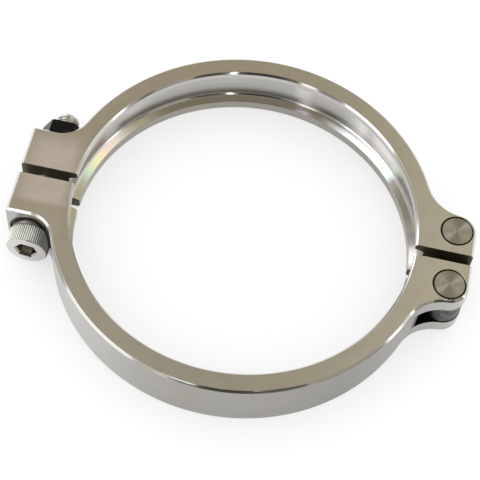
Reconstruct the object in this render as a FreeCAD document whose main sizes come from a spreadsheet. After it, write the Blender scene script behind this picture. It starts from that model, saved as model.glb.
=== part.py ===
import FreeCAD, Part
import math
import os
from types import SimpleNamespace

import Sketcher
from FreeCAD import Placement, Rotation, Vector

# V band clamp: two machined half bands, hinged on two pins through a link plate at +X
# and drawn together by a screw and a nut through their lugs at -X. The band's axis is Z,
# its middle is the origin, and the halves part on the plane y = 0. Lengths are in mm.

SIZES = (
    # the band
    ("lip_radius", 54.5, "inside radius of the band's two lips"),
    ("groove_depth", 2.9, "depth of the V groove behind the lips"),
    ("band_wall", 3.6, "band outside the root of its groove"),
    ("band_height", 20.0, "height of the band, its ears and its lugs"),
    ("split_gap", 3.4, "gap between the halves"),
    ("edge_chamfer", 0.75, "chamfer round each half's outline, top and bottom"),
    ("lip_chamfer", 0.65, "chamfer at both mouths of the bore"),
    # the V groove
    ("groove_width", 13.6, "width of the groove between the lips"),
    ("groove_lift", 0.7, "middle of the groove above the middle of the band"),
    ("wall_angle", 20.0, "slope of the groove's two walls, in degrees"),
    ("root_bevel", 0.5, "bevel in the two corners of the groove's root"),
    # the lugs
    ("screw_reach", 3.7, "axis of the screw outside the band"),
    ("lug_edge", 8.1, "lug outside the axis of the screw"),
    ("lug_thickness", 14.3, "lug from the split to its outer face"),
    ("lug_fillet", 9.0, "concave radius from lug to band"),
    ("head_room", 1.3, "spotface wider than the screw's head"),
    ("nut_room", 1.4, "spotface wider than the nut across its corners"),
    ("spotface_depth", 0.5, "depth of the spotfaces"),
    ("head_hole_play", 1.1, "hole wider than the screw in the lug under its head"),
    ("nut_hole_play", 2.1, "hole wider than the screw in the lug under the nut"),
    # the hinge
    ("hinge_reach", 5.6, "axes of the hinge pins outside the band"),
    ("pin_spacing", 19.5, "distance between the hinge pins"),
    ("pin_diameter", 10.0, "diameter of the hinge pins"),
    ("pin_recess", 0.05, "ends of a pin below the faces of its ears"),
    ("pin_chamfer", 0.3, "chamfer on the ends of a pin"),
    ("pin_hole_chamfer", 0.25, "chamfer on the holes for the pins"),
    ("ear_wall", 1.2, "ear outside its pin"),
    ("ear_fillet", 13.0, "concave radius from ear to band"),
    ("link_thickness", 8.0, "thickness of the link"),
    ("link_wall", 1.0, "link outside its pins"),
    ("link_chamfer", 0.3, "chamfer on the link"),
    ("link_play", 0.05, "running clearance of the link on its pins, on the radius"),
    ("slot_play", 0.1, "clearance of the link in its slot, above and below"),
    ("slot_run", 1.5, "clearance between the link and the end of its slot"),
    # the screw and the nut, M8
    ("screw_diameter", 7.9, "outside diameter of the screw's thread"),
    ("thread_end", 5.1, "end of the screw beyond the nut"),
    ("tip_depth", 0.75, "depth of the chamfer on the screw's end"),
    ("tip_length", 1.5, "length of the chamfer on the screw's end"),
    ("head_diameter", 13.5, "diameter of the screw's head"),
    ("head_height", 8.2, "height of the screw's head"),
    ("head_chamfer", 0.6, "chamfer round the face of the head"),
    ("head_bevel", 0.4, "step from the head in to its collar"),
    ("collar_height", 2.0, "plain collar at the seat of the head"),
    ("key_width", 6.0, "hexagon socket across its flats"),
    ("key_depth", 4.0, "depth of the hexagon socket"),
    ("key_lead", 1.3, "cone at the socket's mouth wider than the hexagon"),
    ("key_turn", 40.0, "turn of the socket about the screw's axis, in degrees"),
    ("nut_width", 13.0, "nut across its flats"),
    ("nut_height", 6.8, "height of the nut"),
    ("nut_face_step", 0.8, "bevelled faces of the nut narrower than its corners"),
    ("nut_bevel", 30.0, "slope of the bevels on the nut's corners, in degrees"),
    ("nut_chamfer", 0.5, "chamfer at both mouths of the nut's thread"),
    ("thread_play", 0.05, "clearance of the nut on the screw, on the radius"),
    ("seat_play", 0.3, "clearance under the nut, for the tilt of the opening lugs"),
)

BACK = 1
FRONT = -1
NEAR = 1e-4
ALONG_SCREW = Rotation(Vector(1, 0, 0), -90)


class Length:
    """A value with the expression of the spreadsheet's cells that gives it."""

    def __init__(self, value, text):
        self.value = value
        self.text = text

    def combine(self, other, sign, value):
        """Make the length that a sum or product gives, with its expression."""
        return Length(value, f"({self.text} {sign} {text_of(other)})")

    def __add__(self, other):
        return self.combine(other, "+", self.value + value_of(other))

    def __sub__(self, other):
        return self.combine(other, "-", self.value - value_of(other))

    def __mul__(self, other):
        return self.combine(other, "*", self.value * value_of(other))

    def __truediv__(self, other):
        return self.combine(other, "/", self.value / value_of(other))

    def __neg__(self):
        return self * -1


def value_of(quantity):
    """Give the value of a length or a plain number."""
    return quantity.value if isinstance(quantity, Length) else quantity


def text_of(quantity):
    """Give the expression of a length or a plain number."""
    return quantity.text if isinstance(quantity, Length) else repr(quantity)


def tangent(angle):
    """Give the tangent of an angle that a cell holds in degrees."""
    return Length(math.tan(math.radians(angle.value)), f"tan({angle.text} * 1 deg)")


size = SimpleNamespace(
    **{alias: Length(value, f"Sizes.{alias}") for alias, value, note in SIZES})
groove_radius = size.lip_radius + size.groove_depth
band_radius = groove_radius + size.band_wall
screw_offset = band_radius + size.screw_reach
hinge_offset = band_radius + size.hinge_reach
seat = size.split_gap / 2 + size.lug_thickness - size.spotface_depth
nut_seat = seat + size.seat_play
nut_corners = size.nut_width * 2 / math.sqrt(3)
head_spotface = size.head_diameter + size.head_room
nut_spotface = nut_corners + size.nut_room
head_hole = size.screw_diameter + size.head_hole_play
nut_hole = size.screw_diameter + size.nut_hole_play
screw_length = seat + nut_seat + size.nut_height + size.thread_end


def make_sheet(doc):
    """Put the driving sizes into a spreadsheet, each with its alias."""
    sheet = doc.addObject("Spreadsheet::Sheet", "Sizes")
    for row, (alias, value, note) in enumerate(SIZES, start=1):
        sheet.set(f"A{row}", note)
        sheet.set(f"B{row}", str(value))
        sheet.setAlias(f"B{row}", alias)
    doc.recompute()


# Sketches


def new_sketch(body, name, plane):
    """Start a sketch on one of the body's own origin planes."""
    sketch = body.newObject("Sketcher::SketchObject", name)
    planes = {feature.Role: feature for feature in body.Origin.OriginFeatures}
    sketch.AttachmentSupport = (planes[plane], "")
    sketch.MapMode = "FlatFace"
    return sketch


def dimension(sketch, name, length, kind, *places):
    """Add a named dimension, bound to a length."""
    index = sketch.addConstraint(Sketcher.Constraint(kind, *places, length.value))
    sketch.renameConstraint(index, name)
    sketch.setExpression(f"Constraints.{name}", length.text)


def place(sketch, name, curve, end, x, y):
    """Hold a point at x and y, where None puts it on the axis."""
    if x is None:
        sketch.addConstraint(Sketcher.Constraint("PointOnObject", curve, end, -2))
    else:
        dimension(sketch, f"{name}_x", x, "DistanceX", -1, 1, curve, end)
    if y is None:
        sketch.addConstraint(Sketcher.Constraint("PointOnObject", curve, end, -1))
    else:
        dimension(sketch, f"{name}_y", y, "DistanceY", -1, 1, curve, end)


def point(x, y):
    """Give the point at two lengths, where None is on the axis."""
    return Vector(0 if x is None else value_of(x), 0 if y is None else value_of(y), 0)


def add_line(sketch, start, end):
    """Add a straight line between two points."""
    return sketch.addGeometry(Part.LineSegment(start, end), False)


def add_arc(sketch, centre, start, end):
    """Add the shorter arc about a centre from one point to the other."""
    radius = (start - centre).Length
    angles = [math.atan2(spot.y - centre.y, spot.x - centre.x) for spot in (start, end)]
    if (angles[1] - angles[0]) % math.tau > math.pi:
        angles.reverse()
    circle = Part.Circle(centre, Vector(0, 0, 1), radius)
    return sketch.addGeometry(Part.ArcOfCircle(circle, *angles), False)


def join(sketch, kind, first, second):
    """Join two curves where their ends meet, as a corner or tangent to each other."""
    for end in (1, 2):
        for start in (1, 2):
            gap = sketch.getPoint(first, end) - sketch.getPoint(second, start)
            if gap.Length < NEAR:
                sketch.addConstraint(Sketcher.Constraint(kind, first, end, second, start))
                return
    raise ValueError(f"{sketch.Label}: curves {first} and {second} do not meet")


def add_outline(sketch, corners):
    """Add a closed outline of straight lines through corners, each at x and y.

    A corner whose x is None lies on the sketch's upright axis.
    """
    spots = [point(x, y) for x, y in corners]
    lines = [add_line(sketch, start, end) for start, end in zip(spots, spots[1:] + spots[:1])]
    for index, (x, y) in enumerate(corners):
        before, after = lines[index - 1], lines[index]
        join(sketch, "Coincident", before, after)
        place(sketch, f"corner{after}", after, 1, x, y)


def add_circle(sketch, name, diameter, x=None, y=None):
    """Add a circle with its centre held at its lengths."""
    circle = Part.Circle(point(x, y), Vector(0, 0, 1), diameter.value / 2)
    index = sketch.addGeometry(circle, False)
    dimension(sketch, name, diameter, "Diameter", index)
    place(sketch, name, index, 3, x, y)


def add_hexagon(sketch, width):
    """Add a hexagon about the origin, with a corner on the x axis."""
    radius = width / math.sqrt(3)
    corners = []
    for step in range(6):
        turn = math.radians(60 * step)
        y = None if step % 3 == 0 else radius * math.sin(turn)
        corners.append((radius * math.cos(turn), y))
    add_outline(sketch, corners)


# Features


def new_body(doc, label):
    """Start the body of one piece."""
    body = doc.addObject("PartDesign::Body", label)
    body.Label = label
    return body


def finish_feature(body, feature, cuts=False):
    """Compute a feature, and see that a cut has taken material away."""
    before = feature.BaseFeature.Shape.Volume if feature.BaseFeature else 0
    body.Document.recompute()
    change = feature.Shape.Volume - before
    if (cuts and change > -NEAR) or (not cuts and abs(change) < NEAR):
        raise ValueError(f"{body.Label}: {feature.Label} changes nothing")
    return feature


def pad(body, sketch, length, symmetric=False):
    """Pad a sketch to a length, or to half of it on each side."""
    feature = body.newObject("PartDesign::Pad", f"{sketch.Name}Pad")
    feature.Profile = sketch
    feature.SideType = "Symmetric" if symmetric else "One side"
    feature.setExpression("Length", length.text)
    return finish_feature(body, feature)


def pocket(body, sketch, length=None, symmetric=False, backwards=False):
    """Cut a sketch to a length, or right through."""
    feature = body.newObject("PartDesign::Pocket", f"{sketch.Name}Pocket")
    feature.Profile = sketch
    feature.SideType = "Symmetric" if symmetric else "One side"
    feature.Reversed = backwards
    if length is None:
        feature.Type = "ThroughAll"
    else:
        feature.setExpression("Length", length.text)
    return finish_feature(body, feature, cuts=True)


def revolve(body, sketch, kind):
    """Turn a sketch about its vertical axis, to add material or to cut it."""
    feature = body.newObject(f"PartDesign::{kind}", f"{sketch.Name}{kind}")
    feature.Profile = sketch
    feature.ReferenceAxis = (sketch, ["V_Axis"])
    feature.Angle = 360
    return finish_feature(body, feature, cuts=kind == "Groove")


def chamfer(body, name, chosen, length):
    """Chamfer the edges of the body's shape that a test chooses."""
    base = body.Tip
    edges = [f"Edge{number}" for number, edge in enumerate(base.Shape.Edges, start=1)
             if chosen(edge)]
    if not edges:
        raise ValueError(f"{body.Label}: {name} finds no edge")
    feature = body.newObject("PartDesign::Chamfer", name)
    feature.Base = (base, edges)
    feature.setExpression("Size", length.text)
    return finish_feature(body, feature, cuts=True)


def middle(edge):
    """Give the middle point of an edge."""
    return edge.valueAt((edge.FirstParameter + edge.LastParameter) / 2)


def lies_level(edge, *heights):
    """Tell whether an edge lies flat at one of some heights."""
    box = edge.BoundBox
    return any(max(abs(box.ZMin - value_of(height)), abs(box.ZMax - value_of(height))) < NEAR
               for height in heights)


def reach(spot, x=0, y=0):
    """Give the distance of a point in plan from another, or from the origin."""
    return math.hypot(spot.x - value_of(x), spot.y - value_of(y))


# The halves of the band


def outline_half(body, side):
    """Draw a half in plan: split face, ear, band and lug, with tangent arcs between."""
    split = size.split_gap / 2 * side
    lug_end = -(screw_offset + size.lug_edge)
    lug_face = (size.split_gap / 2 + size.lug_thickness) * side
    pin_y = size.pin_spacing / 2 * side
    ear_radius = size.pin_diameter / 2 + size.ear_wall

    centre = Vector(0, 0, 0)
    pin = point(hinge_offset, pin_y)
    ear_side = pin + Vector(ear_radius.value, 0, 0)
    ear_hollow = centre_between(pin, ear_radius.value, size.ear_fillet.value, side)
    ear_turn = pin + (ear_hollow - pin).normalize() * ear_radius.value
    ear_root = Vector(ear_hollow).normalize() * band_radius.value
    hollow_y = lug_face + size.lug_fillet * side
    hollow_reach = band_radius.value + size.lug_fillet.value
    lug_hollow = Vector(-math.sqrt(hollow_reach**2 - hollow_y.value**2), hollow_y.value, 0)
    lug_root = Vector(lug_hollow).normalize() * band_radius.value
    lug_turn = Vector(lug_hollow.x, lug_face.value, 0)
    lug_corner = point(lug_end, lug_face)
    lug_split = point(lug_end, split)
    ear_split = Vector(ear_side.x, split.value, 0)

    sketch = new_sketch(body, "Outline", "XY_Plane")
    split_line = add_line(sketch, lug_split, ear_split)
    ear_line = add_line(sketch, ear_split, ear_side)
    ear_arc = add_arc(sketch, pin, ear_side, ear_turn)
    ear_hollow_arc = add_arc(sketch, ear_hollow, ear_turn, ear_root)
    band_arc = add_arc(sketch, centre, ear_root, lug_root)
    lug_hollow_arc = add_arc(sketch, lug_hollow, lug_root, lug_turn)
    face_line = add_line(sketch, lug_turn, lug_corner)
    end_line = add_line(sketch, lug_corner, lug_split)

    join(sketch, "Coincident", split_line, ear_line)
    join(sketch, "Tangent", ear_line, ear_arc)
    join(sketch, "Tangent", ear_arc, ear_hollow_arc)
    join(sketch, "Tangent", ear_hollow_arc, band_arc)
    join(sketch, "Tangent", band_arc, lug_hollow_arc)
    join(sketch, "Tangent", lug_hollow_arc, face_line)
    join(sketch, "Coincident", face_line, end_line)
    join(sketch, "Coincident", end_line, split_line)
    for line in (split_line, face_line):
        sketch.addConstraint(Sketcher.Constraint("Horizontal", line))
    for line in (ear_line, end_line):
        sketch.addConstraint(Sketcher.Constraint("Vertical", line))
    sketch.addConstraint(Sketcher.Constraint("Coincident", band_arc, 3, -1, 1))

    dimension(sketch, "band_radius", band_radius, "Radius", band_arc)
    dimension(sketch, "ear_radius", ear_radius, "Radius", ear_arc)
    dimension(sketch, "ear_fillet", size.ear_fillet, "Radius", ear_hollow_arc)
    dimension(sketch, "lug_fillet", size.lug_fillet, "Radius", lug_hollow_arc)
    place(sketch, "pin", ear_arc, 3, hinge_offset, pin_y)
    place(sketch, "lug_split", split_line, 1, lug_end, split)
    dimension(sketch, "lug_face", lug_face, "DistanceY", -1, 1, face_line, 2)
    return sketch


def centre_between(pin, ear_radius, fillet, side):
    """Give the centre of the concave arc that meets both the band and the ear."""
    from_band = band_radius.value + fillet
    from_pin = ear_radius + fillet
    away = pin.Length
    turn = math.acos((from_band**2 + away**2 - from_pin**2) / (2 * from_band * away))
    bearing = math.atan2(pin.y, pin.x) + side * turn
    return Vector(from_band * math.cos(bearing), from_band * math.sin(bearing), 0)


def section_bore(body):
    """Draw what is turned out of the band: bore, lips, mouth chamfers and V groove."""
    top = size.band_height / 2
    wall_slope = tangent(size.wall_angle)
    wall_foot = groove_radius - size.root_bevel
    wall_rise = (size.groove_depth - size.root_bevel) * wall_slope
    root_rise = wall_rise + size.root_bevel
    upper_lip = size.groove_lift + size.groove_width / 2
    lower_lip = size.groove_lift - size.groove_width / 2
    wide = size.lip_radius + size.lip_chamfer * 2
    sketch = new_sketch(body, "Bore", "XZ_Plane")
    add_outline(sketch, (
        (None, -top - size.lip_chamfer),
        (wide, -top - size.lip_chamfer),
        (size.lip_radius, -top + size.lip_chamfer),
        (size.lip_radius, lower_lip),
        (wall_foot, lower_lip + wall_rise),
        (groove_radius, lower_lip + root_rise),
        (groove_radius, upper_lip - root_rise),
        (wall_foot, upper_lip - wall_rise),
        (size.lip_radius, upper_lip),
        (size.lip_radius, top - size.lip_chamfer),
        (wide, top + size.lip_chamfer),
        (None, top + size.lip_chamfer),
    ))
    return sketch


def half_band(doc, label, side, hole, spotface):
    """Make a half of the band with its ears for the hinge and its lug for the screw."""
    body = new_body(doc, label)
    top = size.band_height / 2
    split = size.split_gap.value / 2
    pin_y = size.pin_spacing / 2 * side
    pad(body, outline_half(body, side), size.band_height, symmetric=True)
    revolve(body, section_bore(body), "Groove")

    def on_outline(edge):
        spot = middle(edge)
        outside = reach(spot) > band_radius.value - NEAR
        return lies_level(edge, top, -top) and outside and abs(spot.y) > split + NEAR

    chamfer(body, "EdgeChamfer", on_outline, size.edge_chamfer)

    slot_end = hinge_offset - size.pin_diameter / 2 - size.link_wall - size.slot_run
    slot_out = hinge_offset + size.pin_diameter
    slot_side = (size.pin_spacing + size.ear_fillet) * side
    slot = new_sketch(body, "Slot", "XY_Plane")
    add_outline(slot, (
        (slot_end, None), (slot_out, None), (slot_out, slot_side), (slot_end, slot_side)))
    pocket(body, slot, size.link_thickness + size.slot_play * 2, symmetric=True)

    pin_hole = new_sketch(body, "PinHole", "XY_Plane")
    add_circle(pin_hole, "hole", size.pin_diameter, hinge_offset, pin_y)
    pocket(body, pin_hole, symmetric=True)

    def at_pin_mouth(edge):
        away = reach(middle(edge), hinge_offset, pin_y)
        return lies_level(edge, top, -top) and abs(away - size.pin_diameter.value / 2) < NEAR

    chamfer(body, "PinHoleChamfer", at_pin_mouth, size.pin_hole_chamfer)

    screw_hole = new_sketch(body, "ScrewHole", "XZ_Plane")
    add_circle(screw_hole, "hole", hole, -screw_offset)
    pocket(body, screw_hole, symmetric=True)

    lug_seat = new_sketch(body, "Seat", "XZ_Plane")
    lug_seat.setExpression("AttachmentOffset.Base.z", (-seat * side).text)
    add_circle(lug_seat, "spotface", spotface, -screw_offset)
    pocket(body, lug_seat, backwards=side == FRONT)
    return body


# The hinge


def hinge_pin(doc, label, side):
    """Make a hinge pin, pressed in the ears of its half."""
    body = new_body(doc, label)
    length = size.band_height - size.pin_recess * 2
    sketch = new_sketch(body, "Round", "XY_Plane")
    add_circle(sketch, "pin", size.pin_diameter)
    pad(body, sketch, length, symmetric=True)

    def at_end(edge):
        return lies_level(edge, length / 2, -length / 2)

    chamfer(body, "EndChamfer", at_end, size.pin_chamfer)
    body.setExpression("Placement.Base.x", hinge_offset.text)
    body.setExpression("Placement.Base.y", (size.pin_spacing / 2 * side).text)
    return body


def hinge_link(doc, label):
    """Make the link plate that both hinge pins run in."""
    body = new_body(doc, label)
    radius = size.pin_diameter / 2 + size.link_wall
    outer = hinge_offset + radius
    inner = hinge_offset - radius
    reach_y = size.pin_spacing / 2
    sketch = new_sketch(body, "Plate", "XY_Plane")
    out_line = add_line(sketch, point(outer, -reach_y), point(outer, reach_y))
    in_line = add_line(sketch, point(inner, reach_y), point(inner, -reach_y))
    ends = []
    for side in (BACK, FRONT):
        pin_y = reach_y * side
        circle = Part.Circle(point(hinge_offset, pin_y), Vector(0, 0, 1), radius.value)
        angles = (0, math.pi) if side == BACK else (math.pi, math.tau)
        ends.append(sketch.addGeometry(Part.ArcOfCircle(circle, *angles), False))
    for end, name, side in zip(ends, ("back", "front"), (BACK, FRONT)):
        join(sketch, "Tangent", out_line, end)
        join(sketch, "Tangent", in_line, end)
        place(sketch, name, end, 3, hinge_offset, reach_y * side)
        bore = size.pin_diameter + size.link_play * 2
        add_circle(sketch, f"{name}_bore", bore, hinge_offset, reach_y * side)
    dimension(sketch, "radius", radius, "Radius", ends[0])
    pad(body, sketch, size.link_thickness, symmetric=True)

    def on_faces(edge):
        return lies_level(edge, size.link_thickness / 2, -size.link_thickness / 2)

    chamfer(body, "EdgeChamfer", on_faces, size.link_chamfer)
    return body


# The screw and the nut, each made upright from its seat and laid along the screw's axis


def clamp_screw(doc, label):
    """Make the socket head cap screw, with its head below its seat and its shank above."""
    body = new_body(doc, label)
    head = size.head_diameter / 2
    shank = size.screw_diameter / 2
    face = -size.head_height
    profile = new_sketch(body, "Profile", "XZ_Plane")
    add_outline(profile, (
        (None, face),
        (head - size.head_chamfer, face),
        (head, face + size.head_chamfer),
        (head, -(size.collar_height + size.head_bevel)),
        (head - size.head_bevel, -size.collar_height),
        (head - size.head_bevel, None),
        (shank, None),
        (shank, screw_length - size.tip_length),
        (shank - size.tip_depth, screw_length),
        (None, screw_length),
    ))
    revolve(body, profile, "Revolution")

    socket = new_sketch(body, "Socket", "XY_Plane")
    socket.AttachmentOffset = Placement(Vector(0, 0, 0), Rotation(Vector(0, 0, 1), 1))
    socket.setExpression("AttachmentOffset.Base.z", face.text)
    socket.setExpression("AttachmentOffset.Rotation.Angle", size.key_turn.text)
    add_hexagon(socket, size.key_width)
    pocket(body, socket, size.key_depth, backwards=True)

    floor = face + size.key_depth
    mouth = new_sketch(body, "SocketMouth", "XZ_Plane")
    mouth_radius = (size.key_width + size.key_lead) / 2
    add_outline(mouth, ((None, face), (mouth_radius, face), (None, face + mouth_radius)))
    revolve(body, mouth, "Groove")

    drill = new_sketch(body, "SocketDrill", "XZ_Plane")
    drill_radius = size.key_width / 2
    drill_tip = floor + drill_radius / math.sqrt(3)
    add_outline(drill, ((None, floor), (drill_radius, floor), (None, drill_tip)))
    revolve(body, drill, "Groove")
    lay_along_screw(body, -seat)
    return body


def clamp_nut(doc, label):
    """Make the hexagon nut, with its seat at the bottom and a flat facing up when laid."""
    body = new_body(doc, label)
    bore = size.screw_diameter + size.thread_play * 2
    plate = new_sketch(body, "Hexagon", "XY_Plane")
    add_hexagon(plate, size.nut_width)
    add_circle(plate, "bore", bore)
    pad(body, plate, size.nut_height)

    inside = (nut_corners - size.nut_face_step) / 2
    outside = nut_corners / 2 + size.nut_chamfer
    fall = (outside - inside) * tangent(size.nut_bevel)
    bevels = new_sketch(body, "Bevels", "XZ_Plane")
    add_outline(bevels, ((inside, None), (outside, None), (outside, fall)))
    add_outline(bevels, (
        (inside, size.nut_height), (outside, size.nut_height),
        (outside, size.nut_height - fall)))
    revolve(body, bevels, "Groove")

    def at_mouth(edge):
        at_bore = abs(reach(middle(edge)) - bore.value / 2) < NEAR
        return at_bore and lies_level(edge, 0, size.nut_height)

    chamfer(body, "MouthChamfer", at_mouth, size.nut_chamfer)
    lay_along_screw(body, nut_seat)
    return body


def lay_along_screw(body, height):
    """Turn an upright piece to point along +Y, and put its seat at a height on that axis."""
    body.Placement = Placement(Vector(0, 0, 0), ALONG_SCREW)
    body.setExpression("Placement.Base.x", (-screw_offset).text)
    body.setExpression("Placement.Base.y", height.text)


def check(doc):
    """Stop at any feature that failed and at any piece that is not one valid solid."""
    for item in doc.Objects:
        if "Invalid" in item.State or "Error" in item.State:
            raise ValueError(f"{item.Label} failed: {item.State}")
    for body in doc.findObjects("PartDesign::Body"):
        shape = body.Shape
        if shape.isNull() or not shape.isValid() or len(shape.Solids) != 1:
            raise ValueError(f"{body.Label} is not one valid solid")


def main():
    doc = FreeCAD.newDocument("v_band_clamp")
    make_sheet(doc)
    half_band(doc, "back_half", BACK, nut_hole, nut_spotface)
    half_band(doc, "front_half", FRONT, head_hole, head_spotface)
    hinge_link(doc, "hinge_link")
    hinge_pin(doc, "back_hinge_pin", BACK)
    hinge_pin(doc, "front_hinge_pin", FRONT)
    clamp_screw(doc, "clamp_screw")
    clamp_nut(doc, "clamp_nut")
    doc.recompute()
    check(doc)
    os.makedirs("parts", exist_ok=True)
    for body in doc.findObjects("PartDesign::Body"):
        body.Shape.exportStep(f"parts/{body.Label}.step")
        print(f"{body.Label}: {body.Shape.Volume:.1f} mm3")


main()
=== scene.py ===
import math
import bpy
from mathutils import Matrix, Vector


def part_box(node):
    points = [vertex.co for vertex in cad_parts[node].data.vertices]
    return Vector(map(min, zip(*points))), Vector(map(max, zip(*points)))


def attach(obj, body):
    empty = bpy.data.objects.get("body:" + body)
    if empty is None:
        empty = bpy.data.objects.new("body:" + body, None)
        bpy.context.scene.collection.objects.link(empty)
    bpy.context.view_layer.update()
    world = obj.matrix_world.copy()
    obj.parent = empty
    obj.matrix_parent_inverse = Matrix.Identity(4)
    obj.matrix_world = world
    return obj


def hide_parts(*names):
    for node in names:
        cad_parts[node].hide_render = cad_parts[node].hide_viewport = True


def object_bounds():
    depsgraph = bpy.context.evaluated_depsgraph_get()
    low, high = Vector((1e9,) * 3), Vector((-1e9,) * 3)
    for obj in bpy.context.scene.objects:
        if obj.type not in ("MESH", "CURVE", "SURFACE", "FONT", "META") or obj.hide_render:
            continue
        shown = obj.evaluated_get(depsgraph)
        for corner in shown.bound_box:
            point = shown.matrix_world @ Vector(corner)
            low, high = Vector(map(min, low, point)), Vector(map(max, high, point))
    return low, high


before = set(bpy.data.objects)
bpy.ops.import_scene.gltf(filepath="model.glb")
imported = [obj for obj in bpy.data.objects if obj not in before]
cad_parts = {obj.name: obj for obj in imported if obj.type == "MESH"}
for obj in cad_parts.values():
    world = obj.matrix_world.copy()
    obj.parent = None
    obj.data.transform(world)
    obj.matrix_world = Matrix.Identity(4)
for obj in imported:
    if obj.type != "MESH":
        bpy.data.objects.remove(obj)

from types import SimpleNamespace

import bpy
from mathutils import Matrix, Vector

# V band clamp: the machined halves, the link, the pins and the nut are the frame's own solids.
# The screw, with its knurl, socket and thread, and the thread inside the nut are built here.
# Lengths are in metres; the band's axis is Z and the screw's axis lies along +Y.

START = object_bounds()
MM = 0.001
COLLECTION = bpy.context.scene.collection
PINS = ("back_hinge_pin", "front_hinge_pin")

# lines of the band that its finishes follow
LIP_RADIUS = 54.5 * MM
GROOVE_RADIUS = 57.4 * MM
BAND_RADIUS = 61.0 * MM
SPLIT_HALF = 1.7 * MM
LUG_FACE = 16.0 * MM
SPOTFACE_RADIUS = 7.4 * MM
SLOT_START = 58.0 * MM
SLOT_HALF = 4.1 * MM
PIN_BEVEL = 0.3 * MM
EDGE_ROUND = 0.12 * MM

# the screw's head
HEAD_HEIGHT = 8.2 * MM
HEAD_CHAMFER = 0.6 * MM
CHAMFER_STEPS = 8
FACE_EDGE_ASIDE = 0.1 * MM
FACE_EDGE_DROP = 0.04 * MM
SEAT_GAP = 0.01 * MM
COLLAR_STEP = 0.4 * MM
COLLAR_HEIGHT = 2.0 * MM
COLLAR_INSIDE = 0.02 * MM
COLLAR_ROUND = 0.15 * MM
KNURL_RIBS = 60
KNURL_DEPTH = 0.36 * MM
KNURL_SLOPE = 1.25
KNURL_RUNOUT = 0.3 * MM
KNURL_END_DROP = 0.08 * MM
KNURL_END_FADE = 0.8
POINTS_PER_RIB = 6

# its hexagon socket
KEY_WIDTH = 6.0 * MM
KEY_DEPTH = 4.0 * MM
KEY_FLARE = 0.9 * MM
KEY_FLARE_DEPTH = 0.7 * MM
KEY_RIM = 0.12 * MM
KEY_RIM_DEPTH = 0.06 * MM
KEY_CORNER = 4.1 * MM
KEY_TURN = math.radians(40)
DRILL_SLOPE = math.tan(math.radians(30))

# its shank and thread
SHANK_RADIUS = 3.95 * MM
SHANK_POINTS = 72
FILLET_REACH = 0.4 * MM
FILLET_MIDDLE = (0.12 * MM, 0.1 * MM)
PITCH = 1.25 * MM
THREAD_DEPTH = 0.72 * MM
THREAD_START = 17.0 * MM
THREAD_CLEAR = 0.2 * MM
THREAD_ROW = 0.09 * MM
THREAD_RUN_IN = 1.5
CREST_SHARE = 1 / 16
ROOT_SHARE = 3 / 8
TIP_LENGTH = 1.5 * MM
TIP_DEPTH = 0.75 * MM
TIP_ROUND = 0.12 * MM

# the thread inside the nut: a ridge, given by radius and by half its thickness there
RIDGE_FOOT = (4.03 * MM, 0.47 * MM)
RIDGE_CREST = (3.40 * MM, 0.15 * MM)
RIDGE_INSET = 0.3 * MM
RIDGE_POINTS = 64
RIDGE_FADE = 0.4
RIDGE_END = 0.05


def box(node):
    """Give a node's lowest and highest corners as vectors."""
    low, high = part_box(node)
    return Vector(low), Vector(high)


def upright_axis(node):
    """Give the point at which a node's upright axis crosses the band's middle plane."""
    low, high = box(node)
    return Vector(((low.x + high.x) / 2, (low.y + high.y) / 2, 0))


def screw_axis():
    """Give the point at which the screw's axis crosses the split."""
    low, high = box("clamp_screw")
    return Vector(((low.x + high.x) / 2, 0, (low.z + high.z) / 2))


def screw_head_size():
    """Give the radius of the screw's head and the place of its face."""
    low, high = box("clamp_screw")
    return (high.x - low.x) / 2, low.y


# Meshes


def add_mesh(name, vertices, faces, flat):
    """Add a mesh object, smooth except at edges sharper than an angle in degrees."""
    mesh = bpy.data.meshes.new(name)
    mesh.from_pydata(vertices, [], faces)
    mesh.update()
    piece = bpy.data.objects.new(name, mesh)
    COLLECTION.objects.link(piece)
    mesh.shade_smooth()
    mesh.set_sharp_from_angle(angle=math.radians(flat))
    return piece


def lathe(rings, around):
    """Join rings of points into a skin, closed by a point at each end.

    A ring is its radius, which may change with the direction, and its place along +Y.
    """
    vertices, faces = [], []
    for radii, along in rings:
        for step in range(around):
            turn = math.tau * step / around
            radius = radii(turn) if callable(radii) else radii
            vertices.append((radius * math.sin(turn), along, radius * math.cos(turn)))
    for ring in range(len(rings) - 1):
        for step in range(around):
            near = ring * around + step
            beside = ring * around + (step + 1) % around
            faces.append((near, near + around, beside + around, beside))
    for ring, order in ((0, 1), (len(rings) - 1, -1)):
        spots = [ring * around + step for step in range(around)]
        middle = sum((Vector(vertices[spot]) for spot in spots), Vector()) / around
        vertices.append(tuple(middle))
        for step in range(around):
            pair = (spots[step], spots[(step + 1) % around])
            faces.append((len(vertices) - 1, *pair[::order]))
    return vertices, faces


def knurl_radius(outside, fade=1.0):
    """Give the radius round the knurled head: straight ribs, cut less where they fade."""
    def radius(turn):
        wave = abs((turn * KNURL_RIBS / math.tau) % 1 * 2 - 1)
        return outside - KNURL_DEPTH * fade * min(1.0, wave * KNURL_SLOPE)
    return radius


def socket_radius(width):
    """Give the radius of a hexagon socket of a width, in each direction."""
    def radius(turn):
        part = math.radians(60)
        aside = (turn - KEY_TURN) % part - part / 2
        return width / 2 / math.cos(aside)
    return radius


def chamfered_knurl_radius(head, drop):
    """Give the radius of the ribs at a drop below the head's face, cut by its chamfer."""
    ribs = knurl_radius(head)
    cone = head - HEAD_CHAMFER + drop
    return lambda turn: min(cone, ribs(turn))


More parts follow.
